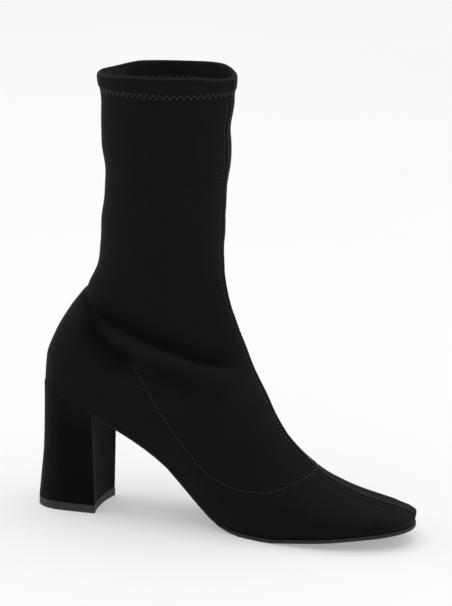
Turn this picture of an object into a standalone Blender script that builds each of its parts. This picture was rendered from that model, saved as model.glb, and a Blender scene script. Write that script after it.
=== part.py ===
"""Left sock boot: a hollow upper with an outsole, a block heel, its tip and an insole.

Metres, +X to the toe, +Y to the boot's left (its outer side), +Z up, floor at z = 0.
Lengths in the tables are shares of the named sizes.
"""
import math

import bmesh
import bpy
import numpy as np

COLLAR_HEIGHT = 0.2725
LAST_LENGTH = 0.2375
BALL_WIDTH = 0.085
SEAT_HEIGHT = 0.0775
TOE_SPRING = 0.0092
INFLARE = 0.012
SEAT_BACK = 0.0045
GAP = 0.0003

WALL = 0.0018
HEM_STEP = 0.0009
HEM_HEIGHT = 0.011
HEM_LEDGE = 0.0008
STAND = 0.0020

SOLE_THICK = 0.0022
INSOLE_THICK = 0.0020
TIP_THICK = 0.0050
EDGE_BEVEL = 0.0004
HEEL_LENGTH = 0.0410
HEEL_WIDTH = 0.0420
HEEL_SKEW = 0.0036
BREAST_HOLLOW = 0.0022
HEEL_CORNER = 0.75

ROUND_POWER = 2.2
HEEL_ROUND = 0.11
TOE_ROUND = 0.085

ROW_STEPS = 2
END_STEPS = 5
COLUMNS = 16
ACROSS = 8

# along: share of the last; drop: share of the seat's height; spring: share of the toe spring
SOLE_COLUMNS = ("along", "drop", "spring")
SOLE_LINE = [
    (0.00, 1.000, 0.00),
    (0.06, 0.958, 0.00),
    (0.14, 0.850, 0.00),
    (0.26, 0.663, 0.00),
    (0.36, 0.454, 0.00),
    (0.40, 0.336, 0.00),
    (0.45, 0.188, 0.00),
    (0.49, 0.086, 0.00),
    (0.53, 0.024, 0.00),
    (0.56, 0.007, 0.00),
    (0.59, 0.000, 0.00),
    (0.65, 0.000, 0.00),
    (0.70, 0.000, 0.14),
    (0.80, 0.000, 0.41),
    (0.87, 0.000, 0.62),
    (0.93, 0.000, 0.82),
    (1.00, 0.000, 1.00),
]

# along: share of the last; half widths: shares of the ball width
OUTLINE_COLUMNS = ("along", "inner", "outer")
OUTLINE = [
    (0.00, 0.315, 0.315),
    (0.12, 0.320, 0.320),
    (0.22, 0.305, 0.315),
    (0.36, 0.280, 0.330),
    (0.48, 0.320, 0.400),
    (0.60, 0.405, 0.465),
    (0.70, 0.450, 0.470),
    (0.80, 0.430, 0.438),
    (0.90, 0.335, 0.345),
    (1.00, 0.225, 0.235),
]

# along: share of the last; inset: how far the outsole's edge lies inside the upper's, and thick:
# how thick it is, shares of the sole's thickness
LIP_COLUMNS = ("along", "inset", "thick")
SOLE_LIP = [
    (0.14, 0.45, 0.55),
    (0.45, 0.38, 0.60),
    (0.60, -0.32, 1.00),
    (1.00, -0.40, 1.00),
]

# One row a section of the upper, fanned from the toe tip round the ankle to the collar.
# low_x, top_x: shares of the last; low_z, top_z: shares of the collar's height, none where the
# section starts on the sole line; inner, outer: half widths as shares of the ball width;
# widest: how far up the section that is; round_in, round_out: powers of its upper curves;
# lean: how far its top leans to the inner side, share of the ball width
ROW_COLUMNS = ("kind", "low_x", "low_z", "top_x", "top_z", "inner", "outer", "widest",
               "round_in", "round_out", "lean")
ROWS = [
    ("tip", 1.000, None, 1.0000, None, 0.000, 0.000, 0.50, 2.00, 2.00, 0.000),
    ("sole", 0.994, None, 1.0010, 0.0570, 0.000, 0.000, 0.40, 2.10, 2.10, 0.000),
    ("sole", 0.980, None, 0.9990, 0.0650, 0.000, 0.000, 0.36, 2.10, 2.10, 0.000),
    ("sole", 0.950, None, 0.9800, 0.0700, 0.000, 0.000, 0.34, 2.05, 2.05, 0.000),
    ("sole", 0.910, None, 0.9450, 0.0745, 0.335, 0.335, 0.34, 2.05, 2.00, 0.004),
    ("sole", 0.850, None, 0.8880, 0.0830, 0.410, 0.410, 0.34, 2.05, 1.95, 0.010),
    ("sole", 0.780, None, 0.8250, 0.0965, 0.455, 0.450, 0.33, 2.05, 1.95, 0.018),
    ("sole", 0.700, None, 0.7600, 0.1205, 0.470, 0.475, 0.33, 2.10, 1.95, 0.027),
    ("sole", 0.620, None, 0.6990, 0.1595, 0.455, 0.475, 0.34, 2.10, 1.95, 0.034),
    ("sole", 0.530, None, 0.6500, 0.2065, 0.425, 0.457, 0.36, 2.10, 1.98, 0.034),
    ("sole", 0.430, None, 0.6190, 0.251, 0.405, 0.430, 0.37, 2.10, 2.00, 0.030),
    ("sole", 0.360, None, 0.5985, 0.2870, 0.394, 0.414, 0.37, 2.10, 2.00, 0.026),
    ("sole", 0.230, None, 0.5620, 0.349, 0.378, 0.388, 0.36, 2.05, 2.00, 0.016),
    ("sole", 0.140, None, 0.5415, 0.394, 0.368, 0.372, 0.34, 2.00, 2.00, 0.010),
    ("sole", 0.060, None, 0.5240, 0.428, 0.360, 0.362, 0.30, 2.00, 2.00, 0.005),
    ("sole", 0.000, None, 0.5100, 0.459, 0.356, 0.357, 0.27, 2.00, 2.00, 0.000),
    ("back", 0.006, 0.345, 0.5035, 0.473, 0.355, 0.355, 0.28, 2.00, 2.00, 0.000),
    ("back", 0.030, 0.400, 0.4945, 0.499, 0.355, 0.355, 0.32, 2.00, 2.00, 0.000),
    ("back", 0.072, 0.460, 0.4865, 0.528, 0.356, 0.356, 0.37, 2.00, 2.00, 0.000),
    ("back", 0.124, 0.520, 0.4805, 0.560, 0.358, 0.358, 0.42, 2.00, 2.00, 0.000),
    ("back", 0.152, 0.576, 0.4785, 0.605, 0.362, 0.362, 0.46, 2.00, 2.00, 0.000),
    ("back", 0.163, 0.660, 0.4810, 0.673, 0.368, 0.368, 0.49, 2.00, 2.00, 0.000),
    ("back", 0.167, 0.768, 0.4915, 0.768, 0.376, 0.376, 0.50, 2.00, 2.00, 0.000),
    ("back", 0.161, 0.875, 0.5005, 0.875, 0.382, 0.382, 0.50, 2.00, 2.00, 0.000),
    ("back", 0.150, 1.000, 0.5090, 1.000, 0.386, 0.386, 0.50, 2.00, 2.00, 0.000),
]


def table_curve(table, column, at):
    """Monotone cubic through one column of a table, over its first column."""
    x = np.array([row[0] for row in table], float)
    y = np.array([row[column] for row in table], float)
    rise = np.diff(y) / np.diff(x)
    slope = np.zeros(len(x))
    same = rise[:-1] * rise[1:] > 0
    total = np.where(same, rise[:-1] + rise[1:], 1.0)
    slope[1:-1] = np.where(same, 2 * rise[:-1] * rise[1:] / total, 0.0)
    slope[0] = rise[0]
    slope[-1] = rise[-1]
    at = np.clip(at, x[0], x[-1])
    i = np.clip(np.searchsorted(x, at, side="right") - 1, 0, len(x) - 2)
    span = x[i + 1] - x[i]
    t = (at - x[i]) / span
    start = y[i] * (1 + 2 * t) * (1 - t) ** 2 + span * slope[i] * t * (1 - t) ** 2
    end = y[i + 1] * t * t * (3 - 2 * t) - span * slope[i + 1] * t * t * (1 - t)
    return start + end


def along_last(x):
    """Share of the last's length at x."""
    return np.clip((x - SEAT_BACK) / LAST_LENGTH, 0.0, 1.0)


def seat_line(x):
    """Height of the line on which upper, sole and heel meet."""
    along = along_last(x)
    drop = table_curve(SOLE_LINE, SOLE_COLUMNS.index("drop"), along)
    spring = table_curve(SOLE_LINE, SOLE_COLUMNS.index("spring"), along)
    return SOLE_THICK + drop * (SEAT_HEIGHT - SOLE_THICK) + spring * TOE_SPRING


def seat_point(x, rise):
    """x and z of a point at a distance from the seat line, square to it."""
    step = LAST_LENGTH / 500
    tilt = (seat_line(x + step) - seat_line(x - step)) / (2 * step)
    size = np.sqrt(1 + tilt * tilt)
    return x - rise * tilt / size, seat_line(x) + rise / size


def centre(x):
    """Sideways place of the middle line, straight at the heel and swung inwards at the toe."""
    swing = np.clip((along_last(x) - 0.25) / 0.75, 0.0, 1.0)
    return -INFLARE * swing * swing


def end_round(share):
    """Width left at a share of the way into a rounded end."""
    return (1 - np.clip(share, 0.0, 1.0) ** ROUND_POWER) ** (1 / ROUND_POWER)


def half_width(x, side):
    """Half width of the edge where the upper meets the sole; side 1 is outer, -1 inner."""
    along = along_last(x)
    column = OUTLINE_COLUMNS.index("outer" if side > 0 else "inner")
    wide = table_curve(OUTLINE, column, along) * BALL_WIDTH
    return wide * end_round(1 - along / HEEL_ROUND) * end_round(1 - (1 - along) / TOE_ROUND)


def round_stations(first, last, count):
    """Shares of the last from first to last, gathered in its two rounded ends."""
    turn = np.sin(np.linspace(0, math.pi / 2, 7)) ** (2 / ROUND_POWER)
    back = HEEL_ROUND * (1 - turn[::-1])
    front = 1 - TOE_ROUND * (1 - turn)
    middle = np.linspace(max(first, HEEL_ROUND), min(last, 1 - TOE_ROUND), count)
    shares = np.concatenate([back, middle, front])
    shares = shares[(shares > first + 0.0005) & (shares < last - 0.0005)]
    return np.unique(np.round(np.concatenate([[first], shares, [last]]), 6))


def edge_line(shares, side, inset):
    """Plan of one side's edge moved inwards by the inset, square to the edge."""
    x = SEAT_BACK + shares * LAST_LENGTH
    y = centre(x) + side * half_width(x, side)
    along = np.stack([np.gradient(x), np.gradient(y)], 1)
    along /= np.linalg.norm(along, axis=1)[:, None]
    if shares[0] <= 0:
        along[0] = (0.0, side)
    if shares[-1] >= 1:
        along[-1] = (0.0, -side)
    inwards = np.stack([along[:, 1], -along[:, 0]], 1) * side
    return np.stack([x, y], 1) + inwards * np.broadcast_to(inset, x.shape)[:, None]


def section_table():
    """The fanned sections in metres, made finer, with a flag for those that start on the sole."""
    coarse = []
    for row in ROWS:
        cell = dict(zip(ROW_COLUMNS, row))
        seat_x = SEAT_BACK + cell["low_x"] * LAST_LENGTH
        low = (seat_x, (cell["low_z"] or 0.0) * COLLAR_HEIGHT)
        if cell["kind"] != "back":
            low = seat_point(seat_x, GAP + STAND)
        top = (SEAT_BACK + cell["top_x"] * LAST_LENGTH, (cell["top_z"] or 0.0) * COLLAR_HEIGHT)
        if cell["kind"] == "tip":
            top = low
        coarse.append((len(coarse), *low, *top, cell["inner"] * BALL_WIDTH,
                       cell["outer"] * BALL_WIDTH, cell["widest"], cell["round_in"],
                       cell["round_out"], cell["lean"] * BALL_WIDTH, seat_x))
    last_on_sole = max(i for i, row in enumerate(ROWS) if row[0] != "back")
    steps = np.arange(0, (len(ROWS) - 1) * ROW_STEPS + 1) / ROW_STEPS
    curl = (np.arange(1, END_STEPS) / END_STEPS) ** 2
    steps = np.concatenate([steps, curl, last_on_sole - curl])
    steps = np.unique(np.round(steps, 6))
    fine = np.stack([table_curve(coarse, c, steps) for c in range(1, len(coarse[0]))], 1)
    return fine, steps <= last_on_sole


def hem_sections(fine, on_sole):
    """Adds the two sections between which the collar's hem steps out."""
    top = fine[-1]
    added = []
    for height in (COLLAR_HEIGHT - HEM_HEIGHT - HEM_LEDGE, COLLAR_HEIGHT - HEM_HEIGHT):
        row = np.array([np.interp(height, fine[~on_sole, 1], fine[~on_sole, c])
                        for c in range(len(top))])
        row[3] = height
        added.append(row)
    for row in (added[1], top):
        row += np.array([-HEM_STEP, 0, HEM_STEP, 0, HEM_STEP, HEM_STEP, 0, 0, 0, 0, 0])
    keep = fine[:, 1] < added[0][1] - 0.002
    below = fine[keep | on_sole]
    return np.array([*below, *added, top]), np.array([*on_sole[keep | on_sole], False, False, False])


def section(row, starts_on_sole, side):
    """Points of one side of a section from its top to its low end, where it stands up straight."""
    low_x, low_z, top_x, top_z, inner, outer, widest, round_in, round_out, lean, seat_x = row
    power = round_out if side > 0 else round_in
    foot = float(half_width(seat_x, side)) if starts_on_sole else 0.0
    wide = max(outer if side > 0 else inner, foot * 1.0005 + 0.00001)
    tuck = math.sqrt(1 - (foot / wide) ** 2)
    above = np.linspace(0, math.pi / 2, 60)
    below = np.linspace(0, math.asin(tuck), 60)[1:]
    out = np.concatenate([wide * np.sin(above) ** (2 / power), wide * np.cos(below)])
    up = np.concatenate([widest + (1 - widest) * np.cos(above) ** (2 / power),
                         widest * (1 - np.sin(below) / tuck)])
    if starts_on_sole:
        foot_x, foot_z = seat_point(seat_x, GAP)
        low_x, low_z = seat_point(seat_x, GAP + STAND)
    size = math.hypot(top_x - low_x, top_z - low_z)
    run = np.concatenate([[0], np.cumsum(np.hypot(np.diff(out), np.diff(up) * size))])
    even = np.linspace(0, run[-1], COLUMNS if starts_on_sole else COLUMNS + 1)
    out = np.interp(even, run, out)
    up = np.interp(even, run, up)
    x = low_x + up * (top_x - low_x)
    y = side * out + centre(x) - lean * up * up
    points = np.stack([x, y, low_z + up * (top_z - low_z)], 1)
    if starts_on_sole:
        points = np.concatenate([points, [[foot_x, side * foot + centre(foot_x), foot_z]]])
    return points


def upper_grid():
    """Outer face of the upper as rows of points, from the inner edge over the top to the outer."""
    fine, on_sole = hem_sections(*section_table())
    rows = []
    for row, starts_on_sole in zip(fine, on_sole):
        inner = section(row, starts_on_sole, -1)
        outer = section(row, starts_on_sole, 1)
        rows.append(np.concatenate([inner[::-1], outer[1:]]))
    return np.array(rows)


def material(name, colour, rough):
    """A plain Principled material."""
    made = bpy.data.materials.new(name)
    made.use_nodes = True
    shader = made.node_tree.nodes["Principled BSDF"]
    shader.inputs["Base Color"].default_value = (*colour, 1.0)
    shader.inputs["Roughness"].default_value = rough
    return made


def add_object(name, verts, faces, look):
    """A mesh object with doubled points joined and its faces turned outwards."""
    mesh = bpy.data.meshes.new(name)
    mesh.from_pydata([tuple(map(float, v)) for v in verts], [], faces)
    work = bmesh.new()
    work.from_mesh(mesh)
    bmesh.ops.remove_doubles(work, verts=work.verts, dist=0.00001)
    bmesh.ops.recalc_face_normals(work, faces=work.faces)
    work.to_mesh(mesh)
    work.free()
    mesh.shade_smooth()
    mesh.materials.append(look)
    made = bpy.data.objects.new(name, mesh)
    bpy.context.scene.collection.objects.link(made)
    return made


def soften(made, width):
    """Rounds the sharp edges and keeps the flat faces flat."""
    bevel = made.modifiers.new("edges", "BEVEL")
    bevel.width = width
    bevel.segments = 2
    bevel.limit_method = "ANGLE"
    bevel.angle_limit = math.radians(50)
    bevel.harden_normals = True


def grid_faces(rows, columns):
    """Quads over a grid of points numbered row by row."""
    faces = []
    for i in range(rows - 1):
        for j in range(columns - 1):
            a = i * columns + j
            faces.append((a, a + 1, a + columns + 1, a + columns))
    return faces


def make_upper(look):
    """Shell solid: its outer face, thickened inwards, more so where the hem stands out."""
    grid = upper_grid()
    rows, columns = grid.shape[:2]
    mesh = bpy.data.meshes.new("upper")
    mesh.from_pydata(grid.reshape(-1, 3).tolist(), [], grid_faces(rows, columns))
    work = bmesh.new()
    work.from_mesh(mesh)
    weight = work.verts.layers.deform.verify()
    for index, vert in enumerate(work.verts):
        in_hem = index // columns >= rows - 2
        vert[weight][0] = 1.0 if in_hem else WALL / (WALL + HEM_STEP)
    bmesh.ops.remove_doubles(work, verts=work.verts, dist=0.00001)
    bmesh.ops.recalc_face_normals(work, faces=work.faces)
    outermost = max(work.faces, key=lambda face: face.calc_center_median().y)
    if outermost.normal.y < 0:
        bmesh.ops.reverse_faces(work, faces=work.faces)
    work.to_mesh(mesh)
    work.free()
    mesh.shade_smooth()
    mesh.materials.append(look)
    upper = bpy.data.objects.new("upper", mesh)
    upper.vertex_groups.new(name="thickness")
    bpy.context.scene.collection.objects.link(upper)
    solid = upper.modifiers.new("wall", "SOLIDIFY")
    solid.thickness = WALL + HEM_STEP
    solid.offset = -1.0
    solid.vertex_group = "thickness"
    return upper


def slab(name, top, low, look, levels=1):
    """Closed solid between two grids of points that match row by row."""
    rows, columns = top.shape[:2]
    count = rows * columns
    ring = [(i, 0) for i in range(rows)]
    ring += [(rows - 1, j) for j in range(1, columns)]
    ring += [(i, columns - 1) for i in range(rows - 2, -1, -1)]
    ring += [(0, j) for j in range(columns - 2, 0, -1)]
    verts = [*top.reshape(-1, 3), *low.reshape(-1, 3)]
    faces = grid_faces(rows, columns)
    faces += [tuple(count + v for v in reversed(face)) for face in faces]
    loops = [[i * columns + j for i, j in ring]]
    for level in range(1, levels):
        share = level / levels
        start = len(verts)
        verts += [top[i, j] * (1 - share) + low[i, j] * share for i, j in ring]
        loops.append(list(range(start, start + len(ring))))
    loops.append([count + i * columns + j for i, j in ring])
    for above, under in zip(loops, loops[1:]):
        for k in range(len(ring)):
            n = (k + 1) % len(ring)
            faces.append((above[k], above[n], under[n], under[k]))
    return add_object(name, verts, faces, look)


def plate_grid(shares, inset, rise):
    """Grid between the two edge lines at one distance from the seat line."""
    inner = edge_line(shares, -1, inset)
    outer = edge_line(shares, 1, inset)
    rows = []
    for a, b, up in zip(inner, outer, np.broadcast_to(rise, shares.shape)):
        plan = a + np.linspace(0, 1, ACROSS + 1)[:, None] * (b - a)
        x, z = seat_point(plan[:, 0], up)
        rows.append(np.stack([x, plan[:, 1], z], 1))
    return np.array(rows)


def breast_x(across):
    """Front of the heel block, 0 in its middle and -1 and 1 at its inner and outer corner."""
    return HEEL_LENGTH - across * HEEL_SKEW / 2 - BREAST_HOLLOW * (1 - across ** 2)


def make_outsole(look):
    """Sole plate from the heel's breast to the toe."""
    start = along_last(HEEL_LENGTH)
    shares = round_stations(start, 1.0, 26)
    inset = table_curve(SOLE_LIP, LIP_COLUMNS.index("inset"), shares) * SOLE_THICK
    top = plate_grid(shares, inset, 0.0)
    thick = table_curve(SOLE_LIP, LIP_COLUMNS.index("thick"), shares) * SOLE_THICK
    low = plate_grid(shares, inset, -thick)
    across = np.clip(2 * top[0, :, 1] / HEEL_WIDTH, -1, 1)
    x = breast_x(across) + GAP
    along = (seat_line(x + GAP) - seat_line(x)) / GAP
    top[0] = np.stack([x, top[0, :, 1], seat_line(x)], 1)
    low[0] = np.stack([x, low[0, :, 1], seat_line(x) - thick[0] * np.sqrt(1 + along ** 2)], 1)
    outsole = slab("outsole", top, low, look)
    soften(outsole, EDGE_BEVEL)
    return outsole


def make_insole(look):
    """Loose inner sole on the outsole and the heel, clear of the wall."""
    shares = round_stations(0.0, 1.0, 20)
    inset = WALL + 3 * GAP
    low = plate_grid(shares, inset, GAP)
    top = plate_grid(shares, inset, GAP + INSOLE_THICK)
    return slab("insole", top, low, look)


def heel_grid(share, height):
    """Plan of the heel block at a share of its height, 0 at the floor and 1 at the seat."""
    turn = np.linspace(0, math.pi / 2, 8)
    back = 1 - np.cos(turn)
    sides = 1 + np.linspace(0, 1, 5)[1:]
    along = np.concatenate([back, sides])
    wide = np.concatenate([np.sin(turn) ** HEEL_CORNER, np.ones(4)])
    round_part = 0.5
    along = np.where(along < 1, along * round_part, round_part + (along - 1) * (1 - round_part))
    rows = []
    for a, w in zip(along, wide):
        across = np.linspace(-1, 1, ACROSS + 1)
        front = breast_x(across)
        rear = (SEAT_BACK + GAP) * share
        x = rear + a * (front - rear)
        seat = np.maximum(np.minimum(half_width(x, -1), half_width(x, 1)) - GAP, 0)
        floor = w * HEEL_WIDTH / 2
        y = across * ((1 - share) * floor + share * np.minimum(seat, w * HEEL_WIDTH * 0.6))
        z = seat_line(x) * share + (1 - share) * height
        rows.append(np.stack([x, y, z], 1))
    return np.array(rows)


def make_heel(look):
    """Block heel under the seat, its breast slightly hollow."""
    heel = slab("heel_block", heel_grid(1.0, 0.0), heel_grid(0.0, TIP_THICK + GAP), look, 4)
    soften(heel, EDGE_BEVEL)
    return heel


def make_tip(look):
    """Flat tip under the heel block."""
    top = heel_grid(0.0, TIP_THICK)
    low = heel_grid(0.0, 0.0)
    tip = slab("heel_tip", top, low, look)
    soften(tip, EDGE_BEVEL)
    return tip


def centre_on_floor(parts):
    """Moves the boot so that the origin lies under the middle of its box, on the floor."""
    bpy.context.view_layer.update()
    graph = bpy.context.evaluated_depsgraph_get()
    corners = []
    for part in parts:
        shown = part.evaluated_get(graph).to_mesh()
        corners += [tuple(v.co) for v in shown.vertices]
    low = np.min(corners, axis=0)
    high = np.max(corners, axis=0)
    shift = ((low + high) / 2).tolist()
    for part in parts:
        for vert in part.data.vertices:
            vert.co = (vert.co.x - shift[0], vert.co.y - shift[1], vert.co.z - float(low[2]))


for old in list(bpy.data.objects):
    bpy.data.objects.remove(old)
fabric = material("microsuede", (0.012, 0.012, 0.013), 0.9)
wrap = material("heel_microsuede", (0.013, 0.013, 0.014), 0.88)
rubber = material("rubber", (0.05, 0.05, 0.052), 0.55)
tip_rubber = material("tip_rubber", (0.06, 0.06, 0.062), 0.6)
board = material("insole_lining", (0.03, 0.03, 0.032), 0.8)
boot = [
    make_upper(fabric),
    make_outsole(rubber),
    make_heel(wrap),
    make_tip(tip_rubber),
    make_insole(board),
]
centre_on_floor(boot)
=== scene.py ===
"""Looks of a left sock boot: black microsuede with soft ankle folds, stitched seams and a hemmed collar.

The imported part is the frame: +X to the toe, +Y to the boot's outer side, +Z up, in metres.
The upper's sections repeat the part's own tables and functions, at a finer step.
"""
import math

import bmesh
import bpy
import numpy as np
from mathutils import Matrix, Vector
from mathutils.bvhtree import BVHTree


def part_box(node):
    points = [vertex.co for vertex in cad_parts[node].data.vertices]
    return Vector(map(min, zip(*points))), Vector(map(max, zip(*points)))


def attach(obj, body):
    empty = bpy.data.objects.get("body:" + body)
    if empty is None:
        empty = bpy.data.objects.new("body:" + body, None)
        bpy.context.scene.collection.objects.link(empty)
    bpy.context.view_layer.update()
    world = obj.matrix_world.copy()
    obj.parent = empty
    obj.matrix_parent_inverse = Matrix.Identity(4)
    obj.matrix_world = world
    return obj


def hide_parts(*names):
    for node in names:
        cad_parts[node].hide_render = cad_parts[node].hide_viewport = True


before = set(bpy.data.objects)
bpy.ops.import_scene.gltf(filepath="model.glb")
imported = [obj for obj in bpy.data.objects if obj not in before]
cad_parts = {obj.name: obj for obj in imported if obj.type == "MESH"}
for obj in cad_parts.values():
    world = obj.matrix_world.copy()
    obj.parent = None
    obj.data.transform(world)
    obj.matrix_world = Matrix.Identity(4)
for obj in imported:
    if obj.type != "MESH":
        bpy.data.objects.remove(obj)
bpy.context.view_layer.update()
tip_low, tip_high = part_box("heel_tip")

# Sizes of the part, as its source has them
COLLAR_HEIGHT = 0.2725
LAST_LENGTH = 0.2375
BALL_WIDTH = 0.085
SEAT_HEIGHT = 0.0775
TOE_SPRING = 0.0092
INFLARE = 0.012
SEAT_BACK = 0.0045
GAP = 0.0003
WALL = 0.0018
HEM_STEP = 0.0009
HEM_HEIGHT = 0.011
STAND = 0.0020
SOLE_THICK = 0.0022
TIP_THICK = 0.0050
HEEL_LENGTH = 0.0410
HEEL_WIDTH = 0.0420
HEEL_SKEW = 0.0036
BREAST_HOLLOW = 0.0022
HEEL_CORNER = 0.75
ROUND_POWER = 2.2
HEEL_ROUND = 0.11
TOE_ROUND = 0.085
SWING_FROM = 0.25

# The part's own zero: the back of the heel tip, on its middle line
ORIGIN = Vector((tip_low.x, (tip_low.y + tip_high.y) / 2, 0.0))

# along: share of the last; drop: share of the seat's height; spring: share of the toe spring
SOLE_COLUMNS = ("along", "drop", "spring")
SOLE_LINE = [
    (0.00, 1.000, 0.00),
    (0.06, 0.958, 0.00),
    (0.14, 0.850, 0.00),
    (0.26, 0.663, 0.00),
    (0.36, 0.454, 0.00),
    (0.40, 0.336, 0.00),
    (0.45, 0.188, 0.00),
    (0.49, 0.086, 0.00),
    (0.53, 0.024, 0.00),
    (0.56, 0.007, 0.00),
    (0.59, 0.000, 0.00),
    (0.65, 0.000, 0.00),
    (0.70, 0.000, 0.14),
    (0.80, 0.000, 0.41),
    (0.87, 0.000, 0.62),
    (0.93, 0.000, 0.82),
    (1.00, 0.000, 1.00),
]

# along: share of the last; half widths: shares of the ball width
OUTLINE_COLUMNS = ("along", "inner", "outer")
OUTLINE = [
    (0.00, 0.315, 0.315),
    (0.12, 0.320, 0.320),
    (0.22, 0.305, 0.315),
    (0.36, 0.280, 0.330),
    (0.48, 0.320, 0.400),
    (0.60, 0.405, 0.465),
    (0.70, 0.450, 0.470),
    (0.80, 0.430, 0.438),
    (0.90, 0.335, 0.345),
    (1.00, 0.225, 0.235),
]

# One row a section of the upper, fanned from the toe tip round the ankle to the collar.
# low_x, top_x: shares of the last; low_z, top_z: shares of the collar's height, none where the
# section starts on the sole line; inner, outer: half widths as shares of the ball width;
# widest: how far up the section that is; round_in, round_out: powers of its upper curves;
# lean: how far its top leans to the inner side, share of the ball width
ROW_COLUMNS = ("kind", "low_x", "low_z", "top_x", "top_z", "inner", "outer", "widest",
               "round_in", "round_out", "lean")
ROWS = [
    ("tip", 1.000, None, 1.0000, None, 0.000, 0.000, 0.50, 2.00, 2.00, 0.000),
    ("sole", 0.994, None, 1.0010, 0.0570, 0.000, 0.000, 0.40, 2.10, 2.10, 0.000),
    ("sole", 0.980, None, 0.9990, 0.0650, 0.000, 0.000, 0.36, 2.10, 2.10, 0.000),
    ("sole", 0.950, None, 0.9800, 0.0700, 0.000, 0.000, 0.34, 2.05, 2.05, 0.000),
    ("sole", 0.910, None, 0.9450, 0.0745, 0.335, 0.335, 0.34, 2.05, 2.00, 0.004),
    ("sole", 0.850, None, 0.8880, 0.0830, 0.410, 0.410, 0.34, 2.05, 1.95, 0.010),
    ("sole", 0.780, None, 0.8250, 0.0965, 0.455, 0.450, 0.33, 2.05, 1.95, 0.018),
    ("sole", 0.700, None, 0.7600, 0.1205, 0.470, 0.475, 0.33, 2.10, 1.95, 0.027),
    ("sole", 0.620, None, 0.6990, 0.1595, 0.455, 0.475, 0.34, 2.10, 1.95, 0.034),
    ("sole", 0.530, None, 0.6500, 0.2065, 0.425, 0.457, 0.36, 2.10, 1.98, 0.034),
    ("sole", 0.430, None, 0.6190, 0.251, 0.405, 0.430, 0.37, 2.10, 2.00, 0.030),
    ("sole", 0.360, None, 0.5985, 0.2870, 0.394, 0.414, 0.37, 2.10, 2.00, 0.026),
    ("sole", 0.230, None, 0.5620, 0.349, 0.378, 0.388, 0.36, 2.05, 2.00, 0.016),
    ("sole", 0.140, None, 0.5415, 0.394, 0.368, 0.372, 0.34, 2.00, 2.00, 0.010),
    ("sole", 0.060, None, 0.5240, 0.428, 0.360, 0.362, 0.30, 2.00, 2.00, 0.005),
    ("sole", 0.000, None, 0.5100, 0.459, 0.356, 0.357, 0.27, 2.00, 2.00, 0.000),
    ("back", 0.006, 0.345, 0.5035, 0.473, 0.355, 0.355, 0.28, 2.00, 2.00, 0.000),
    ("back", 0.030, 0.400, 0.4945, 0.499, 0.355, 0.355, 0.32, 2.00, 2.00, 0.000),
    ("back", 0.072, 0.460, 0.4865, 0.528, 0.356, 0.356, 0.37, 2.00, 2.00, 0.000),
    ("back", 0.124, 0.520, 0.4805, 0.560, 0.358, 0.358, 0.42, 2.00, 2.00, 0.000),
    ("back", 0.152, 0.576, 0.4785, 0.605, 0.362, 0.362, 0.46, 2.00, 2.00, 0.000),
    ("back", 0.163, 0.660, 0.4810, 0.673, 0.368, 0.368, 0.49, 2.00, 2.00, 0.000),
    ("back", 0.167, 0.768, 0.4915, 0.768, 0.376, 0.376, 0.50, 2.00, 2.00, 0.000),
    ("back", 0.161, 0.875, 0.5005, 0.875, 0.382, 0.382, 0.50, 2.00, 2.00, 0.000),
    ("back", 0.150, 1.000, 0.5090, 1.000, 0.386, 0.386, 0.50, 2.00, 2.00, 0.000),
]

# Swing of the front seam along the surface by its height, in metres, above 0 to the inner side
SLIDE_COLUMNS = ("height", "inward")
SEAM_SLIDE = [
    (0.0200, -0.0020),
    (0.0300, -0.0045),
    (0.0450, -0.0055),
    (0.0650, -0.0045),
    (0.0900, -0.0028),
    (0.1200, -0.0010),
    (0.1500, 0.0000),
    (0.1900, 0.0005),
    (0.2100, 0.0026),
    (0.2400, 0.0036),
    (0.2620, 0.0036),
]

# Lengths of a section, metres, from which the swing, the seam and the toe's ridge are at full size
SLIDE_FULL = 0.06
SEAM_FULL = 0.03
TOE_FULL = 0.04

# Grids over the upper: rows between two sections, extra rows at each end of the foot, and
# columns on each side of the front seam; the first columns lie at these distances from the seam
COVER_GRID = (14, 10, 92)
LINING_GRID = (6, 5, 46)
SEAM_GRID = (6, 5, 60)
SIDE_GRID = (4, 5, 60)
HEM_GRID = (4, 5, 40)
NEAR_SEAM_MM = (0.0, 0.3, 0.6, 0.9, 1.25, 1.65, 2.1, 2.6, 3.2, 4.0)

# Points along each arc of a section and along the lines of the folds and the vamp's stitches
ARC_POINTS = 240
FOLD_POINTS = 40
VAMP_POINTS = 50

# Least length to divide by, and the distance within which points are merged, metres
TINY = 1e-9
MERGE = 0.000005

# Where the fan of sections crowds together: its place forward and up, its width, and how often
# and how strongly its rows are spread
CROWD = (0.0740, 0.1090)
CROWD_WIDE = 0.0130
CROWD_ROUNDS = 60
CROWD_PULL = 0.5

# Rim and hem of the collar, metres; dip and sag reaches: from where to where they set in;
# join and lining top: how far below the hem the shaft's own rows and the lining end
RIM_ROUND = 0.0014
RIM_DIP = 0.0024
DIP_REACH = (0.62, 1.0)
SAG_REACH = (-0.002, 0.006)
HEM_PUFF = 0.00025
HEM_JOIN = 0.0012
LINING_TOP = 0.004

# Painted highlight on the rim, and painted light on the hem's shaded inner face and more in its
# back corner, all lighter than the nap; the rim's reach down and the corner's forward are in metres
RIM_HIGHLIGHT = -1.2
RIM_TOP = 0.0004
INSIDE_PAINTED_LIGHT = -1.1
CORNER_PAINTED_LIGHT = 2.5
CORNER_WIDE = 0.012

# Low start of the hem: height over its lower edge and distance out from the shaft
HEM_LEDGE = [
    (-0.0006, 0.0000),
    (-0.0002, 0.0001),
    (0.0000, 0.0005),
    (0.0004, HEM_STEP * 0.9),
]

# Sags of the rim, row a sag: side 1 outer, -1 inner; forward from the collar's middle, width and
# drop in metres
RIM_SAGS = [
    (-1, -0.026, 0.013, 0.0017),
    (1, 0.022, 0.016, -0.0010),
]

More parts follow.
